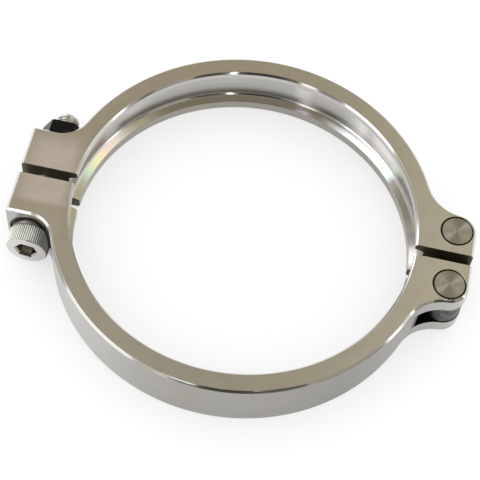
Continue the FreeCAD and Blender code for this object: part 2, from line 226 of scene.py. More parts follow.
def head_rings(head, face):
    """Give the head's rings, from the floor of its socket to the fillet under it."""
    seat = face + HEAD_HEIGHT
    under = seat - SEAT_GAP
    floor = face + KEY_DEPTH
    knurl_end = seat - COLLAR_HEIGHT
    collar = head - COLLAR_STEP - COLLAR_INSIDE
    collar_edge = head - COLLAR_STEP - COLLAR_ROUND
    fillet = SHANK_RADIUS + FILLET_REACH
    socket = socket_radius(KEY_WIDTH)
    rings = [
        (KEY_WIDTH / 4, floor + KEY_WIDTH / 4 * DRILL_SLOPE),
        (KEY_WIDTH / 2, floor),
        (socket, floor),
        (socket, floor),
        (socket, face + KEY_FLARE_DEPTH),
        (socket_radius(KEY_WIDTH + KEY_FLARE), face + KEY_RIM_DEPTH),
        (socket_radius(KEY_WIDTH + KEY_FLARE + KEY_RIM), face),
        (head - HEAD_CHAMFER - FACE_EDGE_ASIDE, face),
        (head - HEAD_CHAMFER, face + FACE_EDGE_DROP),
    ]
    for step in range(1, CHAMFER_STEPS + 1):
        drop = HEAD_CHAMFER * step / CHAMFER_STEPS
        rings.append((chamfered_knurl_radius(head, drop), face + drop))
    rings += [
        (knurl_radius(head), knurl_end - COLLAR_STEP - KNURL_RUNOUT),
        (knurl_radius(head - KNURL_END_DROP, KNURL_END_FADE), knurl_end - COLLAR_STEP),
        (collar, knurl_end),
        (collar, knurl_end),
        (collar, seat - COLLAR_ROUND),
        (collar_edge, under),
        (collar_edge, under),
        (fillet, under),
        (fillet, under),
        (SHANK_RADIUS + FILLET_MIDDLE[0], seat + FILLET_MIDDLE[1]),
        (SHANK_RADIUS, seat + FILLET_REACH),
    ]
    return rings


def thread_depth(phase):
    """Give how deep the thread is cut, from 0 at its crest to 1 at its root."""
    away = abs(phase % 1 - 0.5)
    level = (0.5 - CREST_SHARE - away) / (ROOT_SHARE - CREST_SHARE)
    return max(0.0, min(1.0, level))


def shank_radius(along, start, end):
    """Give the radius round the threaded shank at a place along it."""
    run_in = min(1.0, max(0.0, (along - start) / (PITCH * THREAD_RUN_IN)))
    cone = SHANK_RADIUS - TIP_DEPTH * max(0.0, 1 - (end - along) / TIP_LENGTH)

    def radius(turn):
        phase = (along - start) / PITCH - turn / math.tau
        return min(SHANK_RADIUS - THREAD_DEPTH * thread_depth(phase) * run_in, cone)
    return radius


def shank_rings(seat, end):
    """Give the shank's rings, from the fillet under the head to the screw's end."""
    start = seat + THREAD_START
    count = int((end - start) / THREAD_ROW)
    tip = SHANK_RADIUS - TIP_DEPTH
    rings = [(SHANK_RADIUS, seat + FILLET_REACH), (SHANK_RADIUS, start - THREAD_CLEAR)]
    for row in range(count + 1):
        along = start + (end - start) * row / count
        rings.append((shank_radius(along, start, end), along))
    rings += [(tip - TIP_ROUND, end), (tip / 2, end)]
    return rings


def make_screw():
    """Build the socket head cap screw round its own axis, and put it in its place.

    The head and the shank each leave out the end cap at which they meet.
    """
    head, face = screw_head_size()
    end = box("clamp_screw")[1].y
    around = KNURL_RIBS * POINTS_PER_RIB
    vertices, faces = lathe(head_rings(head, face), around)
    head_piece = add_mesh("clamp_screw_head", vertices, faces[:-around], 25)
    vertices, faces = lathe(shank_rings(face + HEAD_HEIGHT, end), SHANK_POINTS)
    open_faces = faces[:-2 * SHANK_POINTS] + faces[-SHANK_POINTS:]
    shank_piece = add_mesh("clamp_screw_shank", vertices, open_faces, 35)
    for piece in (head_piece, shank_piece):
        piece.data.transform(Matrix.Translation(screw_axis()))
        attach(piece, "screw")
    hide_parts("clamp_screw")
    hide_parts("clamp_screw")
    return head_piece, shank_piece


def make_nut_thread():
    """Build the ridge of the nut's thread, which runs in the groove of the screw's thread."""
    low, high = box("clamp_nut")
    centre = (low + high) / 2
    screw_start = screw_head_size()[1] + HEAD_HEIGHT + THREAD_START
    first, last = low.y + RIDGE_INSET, high.y - RIDGE_INSET
    count = int((last - first) / PITCH * RIDGE_POINTS)
    corners = (RIDGE_FOOT, RIDGE_CREST, (RIDGE_CREST[0], -RIDGE_CREST[1]), (RIDGE_FOOT[0], -RIDGE_FOOT[1]))
    # the ridge's middle follows the middle of the screw's groove, half a turn from its crest
    offset = (first - screw_start) / PITCH - 0.5
    vertices, faces = [], []
    for step in range(count + 1):
        turn = math.tau * (step / RIDGE_POINTS + offset)
        along = first + PITCH * step / RIDGE_POINTS
        taper = min(1.0, min(step, count - step) / (RIDGE_POINTS * RIDGE_FADE) + RIDGE_END)
        for corner, half in corners:
            radius = RIDGE_FOOT[0] - (RIDGE_FOOT[0] - corner) * taper
            vertices.append((centre.x + radius * math.sin(turn), along + half * taper,
                             centre.z + radius * math.cos(turn)))
    for step in range(count):
        for side in range(4):
            near = step * 4 + side
            beside = step * 4 + (side + 1) % 4
            faces.append((near, beside, beside + 4, near + 4))
    faces.append((3, 2, 1, 0))
    faces.append(tuple(count * 4 + side for side in range(4)))
    piece = add_mesh("nut_thread", vertices, faces, 35)
    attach(piece, "nut")
    return piece


# Shared effects: node groups that give masks, tones and bumps


def new_group(name, inputs, outputs):
    """Start a node group with its sockets; give its tree, and its two end nodes."""
    tree = bpy.data.node_groups.new(name, "ShaderNodeTree")
    for label, kind, default in inputs:
        socket = tree.interface.new_socket(label, in_out="INPUT", socket_type=kind)
        if default is not None:
            socket.default_value = default
    for label, kind in outputs:
        tree.interface.new_socket(label, in_out="OUTPUT", socket_type=kind)
    return tree, tree.nodes.new("NodeGroupInput"), tree.nodes.new("NodeGroupOutput")


class Wiring:
    """Adds nodes to a tree and links their sockets."""

    def __init__(self, tree):
        self.tree = tree

    def feed(self, socket, value):
        """Link an output to a socket, or set its constant; a colour may leave out its alpha."""
        if isinstance(value, bpy.types.NodeSocket):
            self.tree.links.new(value, socket)
        elif socket.type == "RGBA" and len(value) == 3:
            socket.default_value = (*value, 1)
        else:
            socket.default_value = value

    def node(self, kind, settings=None, **inputs):
        """Add a node with its settings; an input is a constant or the output that feeds it."""
        node = self.tree.nodes.new(kind)
        for key, value in (settings or {}).items():
            setattr(node, key, value)
        for key, value in inputs.items():
            self.feed(node.inputs[key], value)
        return node

    def maths(self, operation, first, second=0.0):
        """Add a sum and give its result."""
        node = self.tree.nodes.new("ShaderNodeMath")
        node.operation = operation
        for socket, value in zip(node.inputs, (first, second)):
            self.feed(socket, value)
        return node.outputs[0]

    def times(self, first, *others):
        """Multiply values; masks give 1 where all of them are 1."""
        for other in others:
            first = self.maths("MULTIPLY", first, other)
        return first

    def outside(self, mask):
        """Turn a mask round."""
        return self.maths("SUBTRACT", 1.0, mask)

    def unsigned(self, value):
        """Drop a value's sign."""
        return self.maths("ABSOLUTE", value)

    def distance(self, first, second):
        """Give the distance that two lengths at right angles make."""
        squares = self.maths("ADD", self.times(first, first), self.times(second, second))
        return self.maths("SQRT", squares)

    def vector(self, operation, first, second=None):
        """Add a vector sum and give its result."""
        node = self.tree.nodes.new("ShaderNodeVectorMath")
        node.operation = operation
        self.feed(node.inputs[0], first)
        if second is not None:
            self.feed(node.inputs[1], second)
        return node.outputs["Value" if operation == "LENGTH" else "Vector"]

    def split(self, value):
        """Give the three parts of a vector."""
        return self.node("ShaderNodeSeparateXYZ", Vector=value).outputs

    def combine(self, x, y):
        """Make a flat vector of two values."""
        return self.node("ShaderNodeCombineXYZ", X=x, Y=y).outputs[0]

    def noise(self, place, scale, detail, roughness=0.5):
        """Add noise at a place and give its value."""
        node = self.node("ShaderNodeTexNoise", Vector=place, Scale=scale, Detail=detail,
                         Roughness=roughness)
        return node.outputs[0]

    def ramp(self, value, stops):
        """Map a value through a ramp of (place, grey or colour) stops."""
        node = self.node("ShaderNodeValToRGB", Fac=value)
        ramp = node.color_ramp
        while len(ramp.elements) < len(stops):
            ramp.elements.new(0.5)
        for element, (place, colour) in zip(ramp.elements, stops):
            element.position = place
            element.color = (*colour, 1) if isinstance(colour, tuple) else (colour, colour, colour, 1)
        return node.outputs["Color"]

    def mix(self, factor, first, second, blend="MIX"):
        """Mix two colours."""
        node = self.node("ShaderNodeMix", {"data_type": "RGBA", "blend_type": blend})
        self.feed(node.inputs[0], factor)
        colours = [socket for socket in node.inputs if socket.type == "RGBA"]
        for socket, value in zip(colours, (first, second)):
            self.feed(socket, value)
        return [socket for socket in node.outputs if socket.type == "RGBA"][0]

    def tint(self, mask, colour, factor):
        """Multiply a colour by another where a mask is 1."""
        return self.mix(mask, colour, self.mix(1.0, colour, factor, "MULTIPLY"))

    def blend_values(self, factor, first, second):
        """Mix two values."""
        node = self.node("ShaderNodeMix", {"data_type": "FLOAT"})
        for socket, value in zip(node.inputs[:1] + node.inputs[2:4], (factor, first, second)):
            self.feed(socket, value)
        return node.outputs[0]

    def step(self, value, low, high):
        """Rise smoothly from 0 at the first limit to 1 at the second, which may be the lower."""
        node = self.node("ShaderNodeMapRange", {"interpolation_type": "SMOOTHSTEP"}, Value=value)
        node.inputs["From Min"].default_value = low
        node.inputs["From Max"].default_value = high
        return node.outputs[0]

    def step_within(self, value, line, low, high):
        """Step between two distances, in millimetres, from a line of the object."""
        return self.step(value, line + low * MM, line + high * MM)


def turned_marks_group():
    """Fine rings left by turning about an axis: a height, and an even tone."""
    tree, start, end = new_group(
        "turned_marks",
        [("Radius", "NodeSocketFloat", 0.0), ("Height", "NodeSocketFloat", 0.0),
         ("Pitch", "NodeSocketFloat", 0.15 * MM)],
        [("Bump", "NodeSocketFloat"), ("Tone", "NodeSocketFloat")])
    wiring = Wiring(tree)
    radius = wiring.maths("DIVIDE", start.outputs["Radius"], start.outputs["Pitch"])
    height = wiring.maths("DIVIDE", start.outputs["Height"], start.outputs["Pitch"])
    place = wiring.combine(radius, height)
    fine = wiring.noise(place, 1.0, 1.0)
    broad = wiring.noise(place, 0.12, 3.0, 0.6)
    wiring.feed(end.inputs["Bump"], wiring.maths("ADD", fine, broad))
    wiring.feed(end.inputs["Tone"], broad)
    return tree


def handling_group():
    """Marks of handling: soft smudges, and short fine scratches."""
    tree, start, end = new_group(
        "handling",
        [("Vector", "NodeSocketVector", None)],
        [("Smudge", "NodeSocketFloat"), ("Scratch", "NodeSocketFloat")])
    wiring = Wiring(tree)
    place = start.outputs["Vector"]
    smudge = wiring.noise(place, 90.0, 4.0, 0.6)
    wiring.feed(end.inputs["Smudge"], wiring.step(smudge, 0.35, 0.75))
    scratches = 0.0
    for turn, scale in ((0.5, 1.0), (2.0, 1.3), (3.9, 0.8)):
        drawn_out = wiring.node("ShaderNodeMapping", Vector=place,
                                Rotation=(turn, turn * 0.7, turn),
                                Scale=(60 * scale, 2600 * scale, 60 * scale)).outputs[0]
        line = wiring.step(wiring.noise(drawn_out, 1.0, 1.0), 0.76, 0.80)
        scratches = wiring.maths("MAXIMUM", scratches, line)
    wiring.feed(end.inputs["Scratch"], scratches)
    return tree


def grain_group():
    """Fine even grain of a milled, forged or blackened face."""
    tree, start, end = new_group(
        "grain",
        [("Vector", "NodeSocketVector", None), ("Scale", "NodeSocketFloat", 3000.0)],
        [("Bump", "NodeSocketFloat"), ("Tone", "NodeSocketFloat")])
    wiring = Wiring(tree)
    place, scale = start.outputs["Vector"], start.outputs["Scale"]
    fine = wiring.noise(place, scale, 2.0)
    broad = wiring.noise(place, wiring.maths("MULTIPLY", scale, 0.15), 3.0)
    wiring.feed(end.inputs["Bump"], fine)
    wiring.feed(end.inputs["Tone"], wiring.blend_values(0.5, fine, broad))
    return tree


GROUPS = {"turned": turned_marks_group(), "handling": handling_group(), "grain": grain_group()}


# Materials


class Metal(Wiring):
    """A metal with a principled shader, and the object's own places and normals."""

    def __init__(self, name):
        self.material = bpy.data.materials.new(name)
        self.material.use_nodes = True
        super().__init__(self.material.node_tree)
        self.shader = self.tree.nodes["Principled BSDF"]
        self.shader.inputs["Metallic"].default_value = 1.0
        coordinates = self.node("ShaderNodeTexCoord")
        self.place = coordinates.outputs["Object"]
        self.normal = coordinates.outputs["Normal"]
        self.marks = self.group("handling", Vector=self.place)

    def group(self, effect, **inputs):
        """Add a shared effect."""
        node = self.tree.nodes.new("ShaderNodeGroup")
        node.node_tree = GROUPS[effect]
        for key, value in inputs.items():
            self.feed(node.inputs[key], value)
        return node.outputs

    def grain(self, scale):
        """Add the grain of a worked face."""
        return self.group("grain", Vector=self.place, Scale=scale)

    def bump(self, height, distance, strength, under=None):
        """Add a bump of a height, over another one if it is given."""
        node = self.node("ShaderNodeBump", Height=height, Distance=distance, Strength=strength)
        if under is not None:
            self.feed(node.inputs["Normal"], under)
        return node.outputs[0]

    def around_upright(self, centre):
        """Give the direction around an upright axis, for brushed highlights."""
        away = self.vector("SUBTRACT", self.place, centre)
        along = self.vector("CROSS_PRODUCT", (0, 0, 1), away)
        world = self.node("ShaderNodeVectorTransform",
                          {"vector_type": "VECTOR", "convert_from": "OBJECT", "convert_to": "WORLD"},
                          Vector=along)
        return self.vector("NORMALIZE", world.outputs[0])

    def finish(self, colour, roughness, **inputs):
        """Feed the shader and give the material."""
        self.feed(self.shader.inputs["Base Color"], colour)
        self.feed(self.shader.inputs["Roughness"], roughness)
        for key, value in inputs.items():
            self.feed(self.shader.inputs[key.replace("_", " ")], value)
        return self.material


# painted reflections on the outer wall, lighter and darker by bearing, from the hinge at 0 and clockwise
# to the lugs at 1
OUTER_PAINTED_REFLECTIONS = (
    (0.06, (1.0, 1.0, 1.0)), (0.14, (0.56, 0.555, 0.54)), (0.28, (0.54, 0.53, 0.51)),
    (0.36, (0.64, 0.62, 0.59)), (0.46, (0.70, 0.685, 0.65)), (0.53, (0.70, 0.68, 0.64)),
    (0.61, (0.80, 0.785, 0.76)), (0.70, (1.0, 1.0, 1.0)), (0.76, (1.05, 1.06, 1.06)),
    (0.86, (0.95, 0.95, 0.95)),
)
# painted reflections on the groove's sloping walls: lighter, darker and coloured patches, from the hinge
# at 0 to the lugs at 1
SLOPE_PAINTED_REFLECTIONS = (
    (0.010, (0.45, 0.42, 0.42)), (0.026, (1.0, 1.0, 1.02)), (0.050, (1.0, 1.0, 1.02)),
    (0.064, (0.74, 0.73, 0.82)), (0.094, (1.32, 1.55, 2.30)), (0.122, (1.0, 1.05, 1.40)),
    (0.150, (0.82, 0.87, 0.98)), (0.203, (0.66, 0.67, 0.68)), (0.213, (1.10, 1.25, 1.25)),
    (0.222, (1.10, 1.40, 1.35)), (0.238, (1.0, 1.0, 1.0)), (0.336, (1.0, 1.0, 1.07)),
    (0.352, (0.72, 0.76, 0.84)), (0.368, (0.58, 0.57, 0.56)), (0.390, (0.62, 0.61, 0.60)),
    (0.424, (0.92, 0.90, 0.90)), (0.432, (1.45, 1.35, 1.60)), (0.452, (1.45, 1.35, 1.60)),
    (0.458, (1.0, 1.0, 1.0)), (0.83, (1.0, 1.0, 1.0)), (0.862, (1.0, 0.80, 0.74)),
    (0.89, (1.0, 0.93, 0.60)), (0.92, (0.80, 1.0, 0.70)), (0.945, (0.78, 0.97, 0.93)),
    (0.972, (1.0, 0.98, 0.93)),
)
# painted highlights: lighter and darker streaks across the groove's floor, from the hinge at 0 to the lugs
# at 1
FLOOR_PAINTED_HIGHLIGHTS = (
    (0.05, 1.1), (0.20, 1.45), (0.235, 1.75), (0.27, 1.75), (0.295, 1.2), (0.315, 1.7),
    (0.335, 1.2), (0.36, 0.92), (0.425, 0.95), (0.438, 1.25), (0.452, 1.25), (0.47, 0.90),
    (0.74, 0.95), (0.79, 1.3), (0.83, 1.05),
)
# painted pink reflection across the lugs' tops, from the band's axis at 0 outwards to its reach at 1
LUG_PINK_REFLECTION = ((0.535, 0.0), (0.58, 0.9), (0.66, 0.9), (0.72, 0.35))
PINK_REFLECTION_REACH = 100.0 * MM


def band_faces(metal):
    """Measure a half band's surface, and give masks for its kinds of face."""
    x, y, z = metal.split(metal.place)
    _, normal_y, normal_z = metal.split(metal.normal)
    radius = metal.distance(x, y)
    bearing = metal.maths("ARCTAN2", y, x)
    level = metal.unsigned(normal_z)
    aside = metal.unsigned(y)
    top = metal.step(level, 0.96, 0.985)
    bore = metal.times(metal.step_within(radius, GROOVE_RADIUS, 0.7, 0.4), metal.outside(top))
    from_screw = metal.vector("MULTIPLY", metal.vector("SUBTRACT", metal.place, screw_axis()), (1, 0, 1))
    from_screw = metal.vector("LENGTH", from_screw)
    return SimpleNamespace(
        z=z, normal_z=normal_z, radius=radius, bearing=bearing, top=top, bore=bore,
        half_turn=metal.maths("DIVIDE", metal.unsigned(bearing), math.pi),
        bevel=metal.times(metal.step(level, 0.40, 0.55), metal.step(level, 0.92, 0.85)),
        split=metal.times(metal.step(metal.unsigned(normal_y), 0.9, 0.97),
                         metal.step_within(aside, SPLIT_HALF, 0.7, 0.4)),
        slope=metal.times(metal.step(normal_z, 0.88, 0.92), bore),
        lug_pink_reflection=metal.times(metal.ramp(metal.times(x, -1 / PINK_REFLECTION_REACH), LUG_PINK_REFLECTION),
                       metal.step(y, -12.5 * MM, -9.5 * MM), metal.step(y, 18.0 * MM, 9.0 * MM)),
        link_slot=metal.times(metal.step_within(x, SLOT_START, 0.0, 0.5),
                             metal.step_within(radius, BAND_RADIUS, -1.4, -1.1),
                             metal.step_within(metal.unsigned(z), SLOT_HALF, 0.2, 0.1)),
        spotface=metal.times(metal.step_within(from_screw, SPOTFACE_RADIUS, 0.35, 0.15),
                            metal.step_within(aside, LUG_FACE, -0.05, -0.15),
                            metal.step_within(aside, LUG_FACE, -1.0, -0.7)))


def top_colour(metal, faces, rings):
    """Faced tops of the band, a little patchy, with a painted pink reflection on the lugs."""
    colour = metal.mix(rings["Tone"], (0.56, 0.56, 0.56), (0.65, 0.64, 0.63))
    # painted reflection: the lugs' tops are tinted pink
    pink = metal.mix(metal.marks["Smudge"], (0.93, 0.87, 1.0), (0.90, 0.88, 1.0))
    colour = metal.mix(metal.times(faces.lug_pink_reflection, 0.9), colour, pink)
    spread = metal.combine(metal.times(faces.bearing, 9.0), metal.times(faces.radius, 260.0))
    patches = metal.step(metal.noise(spread, 1.0, 2.0), 0.35, 0.68)
    return metal.tint(patches, colour, (0.96, 0.962, 0.965))


def bore_colour(metal, faces, rings):
    """Turned inside of the band: the groove's slopes, floor and underside, and the lower lip, with painted
    reflections, highlights and shade.
    """
    colour = metal.mix(rings["Tone"], (0.47, 0.462, 0.44), (0.60, 0.59, 0.57))
    # painted reflections on the groove's sloping walls, by bearing
    colour = metal.tint(faces.slope, colour, metal.ramp(faces.half_turn, SLOPE_PAINTED_REFLECTIONS))
    # painted shade in the groove's lower corner, much weaker near the hinge, where it is lit
    deep = metal.step_within(faces.radius, GROOVE_RADIUS, -0.4, -0.2)
    corner = metal.times(metal.step(faces.z, 3.0 * MM, -5.0 * MM), deep,
                        metal.step(faces.z, -5.6 * MM, -5.0 * MM))
    lit_near_hinge = metal.step(faces.half_turn, 0.38, 0.33)
    corner = metal.times(corner, metal.blend_values(lit_near_hinge, 0.45, 0.10))
    colour = metal.mix(corner, colour, (0.25, 0.24, 0.22))
    floor = metal.times(deep, metal.step(faces.normal_z, 0.5, 0.3))
    # painted highlights: lighter and darker streaks across the groove's floor
    colour = metal.tint(floor, colour, metal.ramp(faces.half_turn, FLOOR_PAINTED_HIGHLIGHTS))
    # painted shade: the lower lip is made darker
    shaded_lower_lip = metal.times(metal.step_within(faces.radius, LIP_RADIUS, 0.2, 0.1),
                           metal.step(faces.z, 1.0 * MM, -1.0 * MM))
    colour = metal.tint(shaded_lower_lip, colour, (0.66, 0.645, 0.61))
    # painted shade under the groove's top wall, which the sloping walls mirror
    shaded_roof = metal.times(metal.step(faces.normal_z, -0.88, -0.92), faces.bore)
    return metal.mix(shaded_roof, colour, (0.36, 0.32, 0.25))


def shaded_recesses(metal, faces, colour):
    """Darken what lies in shade: lower bevels, split faces, slots, spotfaces and pin holes."""
    lower_bevel = metal.times(faces.bevel, metal.step(faces.normal_z, -0.3, -0.5))
    colour = metal.mix(lower_bevel, colour, (0.30, 0.295, 0.28))
    colour = metal.mix(faces.split, colour, (0.14, 0.12, 0.08))
    colour = metal.mix(faces.link_slot, colour, (0.06, 0.057, 0.05))
    colour = metal.mix(faces.spotface, colour, (0.04, 0.036, 0.03))
    for pin in PINS:
        low, high = box(pin)
        centre = upright_axis(pin) - Vector((0.09, 0.07, 0)) * MM
        away = metal.vector("MULTIPLY", metal.vector("SUBTRACT", metal.place, centre), (1, 1, 0))
        hole = metal.step_within(metal.vector("LENGTH", away), (high.x - low.x) / 2, 0.36, 0.26)
        colour = metal.mix(hole, colour, (0.035, 0.03, 0.022))
    return colour


def band_material():
    """Machined stainless steel of the halves, each kind of face with its own finish, and with painted
    reflections, highlights and shade.
    """
    metal = Metal("machined_band")
    faces = band_faces(metal)
    rings = metal.group("turned", Radius=faces.radius, Height=faces.z, Pitch=0.22 * MM)
    grain = metal.grain(2600.0)

    outer = metal.mix(grain["Tone"], (0.44, 0.435, 0.42), (0.60, 0.595, 0.58))
    clockwise = metal.maths("DIVIDE", faces.bearing, -math.pi)
    # painted reflection: the outer wall is made lighter or darker by its bearing
    outer = metal.mix(1.0, outer, metal.ramp(clockwise, OUTER_PAINTED_REFLECTIONS), "MULTIPLY")
    colour = metal.mix(faces.top, outer, top_colour(metal, faces, rings))
    colour = metal.mix(faces.bore, colour, bore_colour(metal, faces, rings))
    colour = metal.mix(faces.bevel, colour, (0.72, 0.715, 0.70))
    colour = shaded_recesses(metal, faces, colour)
    colour = metal.mix(metal.times(metal.marks["Smudge"], 0.10), colour, (0.42, 0.38, 0.30))

    rough = metal.blend_values(faces.top, 0.30, 0.24)
    for mask, value in ((faces.bore, 0.19), (faces.slope, 0.10), (faces.bevel, 0.10), (faces.split, 0.45)):
        rough = metal.blend_values(mask, rough, value)
    rough = metal.maths("ADD", rough, metal.times(rings["Tone"], 0.04))
    rough = metal.maths("SUBTRACT", rough, metal.times(metal.marks["Scratch"], 0.10))

    bump = metal.bump(rings["Bump"], 0.002 * MM, 0.5)
    smooth_top = metal.outside(metal.times(faces.top, 0.85))
    bump = metal.bump(metal.times(grain["Bump"], smooth_top), 0.003 * MM, 0.4, bump)
    brushed = metal.blend_values(faces.bore, 0.35, 0.7)
    brushed = metal.blend_values(faces.bevel, brushed, 0.5)
    return metal.finish(colour, rough, Normal=bump, Tangent=metal.around_upright(Vector()),
                        Anisotropic=brushed, Anisotropic_Rotation=0.25)


def pin_material(pin):
    """Turned end faces of a hinge pin, with rings about its own axis, and painted shade on its chamfer."""
    metal = Metal(f"turned_{pin}")
    low, high = box(pin)
    centre = upright_axis(pin)
    x, y, z = metal.split(metal.vector("SUBTRACT", metal.place, centre))
    radius = metal.distance(x, y)
    rings = metal.group("turned", Radius=radius, Height=z, Pitch=0.18 * MM)
    colour = metal.mix(rings["Tone"], (0.33, 0.32, 0.295), (0.50, 0.49, 0.455))
    # painted shade on the pin's chamfer, in the gap against its hole
    shaded_pin_bevel = metal.step_within(radius, (high.x - low.x) / 2 - PIN_BEVEL, -0.02, 0.06)
    colour = metal.mix(shaded_pin_bevel, colour, (0.05, 0.045, 0.035))
    bump = metal.bump(rings["Bump"], 0.004 * MM, 0.7)
    rough = metal.blend_values(metal.marks["Smudge"], 0.34, 0.40)
    return metal.finish(colour, rough, Normal=bump, Tangent=metal.around_upright(centre),
                        Anisotropic=1.0, Anisotropic_Rotation=0.25)


def link_material():
    """Dark satin steel of the link."""
    metal = Metal("dark_link")
    grain = metal.grain(2600.0)
    grains = metal.step(grain["Tone"], 0.36, 0.64)
    colour = metal.mix(grains, (0.035, 0.035, 0.033), (0.15, 0.147, 0.14))
    colour = metal.mix(metal.times(metal.marks["Scratch"], 0.5), colour, (0.5, 0.5, 0.48))
    return metal.finish(colour, 0.40, Normal=metal.bump(grain["Bump"], 0.04 * MM, 0.7))


def screw_material(name, bright):
    """Stainless steel of the screw, with painted shade in the knurl's valleys, on the collar, in the
    socket and on the head's side towards the band, and painted light on the ribs away from it.
    """
    metal = Metal(name)
    head, face = screw_head_size()
    x, y, z = metal.split(metal.vector("SUBTRACT", metal.place, screw_axis()))
    radius = metal.distance(x, z)
    rings = metal.group("turned", Radius=radius, Height=y, Pitch=0.12 * MM)
    grain = metal.grain(3500.0)
    colour = metal.mix(grain["Tone"], (bright * 0.85, bright * 0.84, bright * 0.81),
                       (bright, bright, bright * 0.97))

    # painted shade on the head's face, darker towards the band
    on_face = metal.step_within(y, face, 0.12, 0.04)
    shade = metal.times(on_face, metal.step(x, -3.0 * MM, 4.5 * MM))
    colour = metal.mix(metal.times(shade, 0.9), colour, (0.52, 0.51, 0.49))
    on_side = metal.times(metal.step_within(y, face, 0.12, 0.5),
                         metal.step_within(radius, head, -0.62, -0.58))
    # painted light and shade on the knurl's ribs: near white away from the band, dark towards it
    ribs = metal.mix(metal.step(x, 0.5 * MM, 5.5 * MM), (0.97, 0.98, 0.97), (0.20, 0.20, 0.19))
    colour = metal.mix(on_side, colour, ribs)
    # painted shade in the knurl's valleys
    valley_shade = metal.times(on_side, metal.step_within(radius, head, -0.20, -0.34),
                        metal.step_within(y, face, 6.1, 5.9))
    colour = metal.mix(metal.times(valley_shade, 0.92), colour, (0.06, 0.055, 0.045))
    # painted shade on the collar under the head
    collar = metal.times(metal.step_within(y, face, 5.9, 6.1),
                        metal.step_within(radius, head, -1.6, -1.5))
    colour = metal.mix(collar, colour, (0.46, 0.44, 0.42))
    # painted shade inside the socket
    socket = metal.times(metal.step_within(y, face, 0.02, 0.10),
                        metal.step_within(radius, KEY_CORNER, 0.05, -0.05),
                        metal.step_within(y, face, 6.0, 5.0))
    colour = metal.mix(socket, colour, (0.42, 0.39, 0.34))

    bump = metal.bump(rings["Bump"], 0.002 * MM, 0.4)
    bump = metal.bump(grain["Bump"], 0.005 * MM, 0.4, bump)
    rough = metal.blend_values(metal.marks["Smudge"], 0.20, 0.28)
    rough = metal.blend_values(on_side, rough, 0.30)
    crest = metal.times(on_side, metal.step_within(radius, head, -0.34, -0.20))
    return metal.finish(colour, rough, Normal=bump, Metallic=metal.blend_values(crest, 1.0, 0.45))


def nut_material():
    """Near black, slightly glossy finish of the nut."""
    metal = Metal("dark_nut")
    grain = metal.grain(2400.0)
    colour = metal.mix(grain["Tone"], (0.002, 0.002, 0.002), (0.005, 0.005, 0.0055))
    colour = metal.mix(metal.times(metal.marks["Scratch"], 0.4), colour, (0.45, 0.45, 0.45))
    bump = metal.bump(grain["Bump"], 0.008 * MM, 0.5)
    return metal.finish(colour, 0.27, Normal=bump, Metallic=0.0, IOR=1.27)


def dress_node(name, material):
    """Give a frame node its material and slot."""
    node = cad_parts[name]
    node.data.materials.clear()
    node.data.materials.append(material)
    return node


def round_edges(node):
    """Round a frame node's sharp edges slightly, and keep its flat and curved faces true."""
    node.modifiers.new("weld", "WELD").merge_threshold = 1e-6
    flat = node.modifiers.new("flat", "DECIMATE")
    flat.decimate_type = "DISSOLVE"
    flat.angle_limit = math.radians(0.3)
    edge = node.modifiers.new("edge", "BEVEL")
    edge.width = EDGE_ROUND
    edge.segments = 2
    edge.limit_method = "ANGLE"
    edge.angle_limit = math.radians(15)
    shading = node.modifiers.new("shading", "WEIGHTED_NORMAL")
    shading.mode = "FACE_AREA"
    shading.weight = 50


# Stage

# what the metal sees: a note, bearings and heights from and to in degrees, softness, and colour
SURROUNDINGS = (
    ("front, low", -128, -45, 4, 19, 2.0, (0.46, 0.44, 0.40)),
    ("dark room in front", -109, -46, 19, 62, 1.5, (0.085, 0.078, 0.068)),
    ("darkest corner in front", -105, -72, 19, 62, 3.0, (0.045, 0.04, 0.035)),
    ("front left, lowest", -116, -106, 6, 17, 1.5, (1.7, 1.7, 1.7)),
    ("front left, low", -168, -127, 4, 31, 2.0, (1.25, 1.25, 1.25)),
    ("left, low", 164, 191, -6, 24, 2.0, (0.50, 0.48, 0.42)),
    ("window in front, left", -167, -134, 24, 44, 1.5, (1.9, 1.9, 1.95)),
    ("curtain in front, left", -133, -117, 31, 44, 1.0, (0.24, 0.22, 0.20)),
    ("window in front, middle left", -116, -107, 32, 44, 1.0, (1.4, 1.38, 1.3)),
    ("small window in front", -109, -97, 25, 32, 0.8, (2.3, 2.3, 2.25)),
    ("lamp in front", -69.6, -67.6, 30, 42, 0.4, (5.0, 5.0, 5.0)),
    ("window at the left", 160, 208, 34, 76, 2.0, (2.3, 2.3, 2.35)),
    ("front right", -45, -8, 4, 40, 2.0, (0.38, 0.36, 0.33)),
    ("dark corner, front right", -24, -16, 25, 40, 1.5, (0.17, 0.16, 0.14)),
    ("window at the right", -8, 1, 2, 36, 1.5, (1.6, 1.6, 1.6)),
    ("pale wall at the right", 1, 22, 2, 36, 2.0, (0.9, 0.9, 0.88)),
    ("lamp overhead, right", 28, 42, 48, 67, 1.5, (2.0, 1.93, 1.85)),
    ("lamp behind, left", 133, 142, 40, 51, 1.5, (2.3, 2.3, 2.3)),
    ("bright wall behind, left", 118, 158, -6, 26, 3.0, (1.7, 1.7, 1.7)),
    ("lamp at the top", -168, -154, 79, 84, 1.0, (1.1, 0.95, 1.15)),
)
CEILING_BACK = (0.42, 0.34, 0.20)
CEILING = (0.50, 0.44, 0.305)
CEILING_RIGHT = (0.74, 0.67, 0.47)
CEILING_TOP = (0.31, 0.27, 0.19)
HORIZON = (0.66, 0.64, 0.59)
EVEN_LIGHT = (1.3, 1.3, 1.3)

FLOOR_REACH = 4.0
FLOOR_GLOW = 0.6

CAMERA_PLACE = (0.019895, -0.21490, 0.36744)
CAMERA_TURN = math.radians(5.400)
CAMERA_TILT = math.radians(29.966)
CAMERA_LEAN = math.radians(7.179)
CAMERA_LENS = 99.76


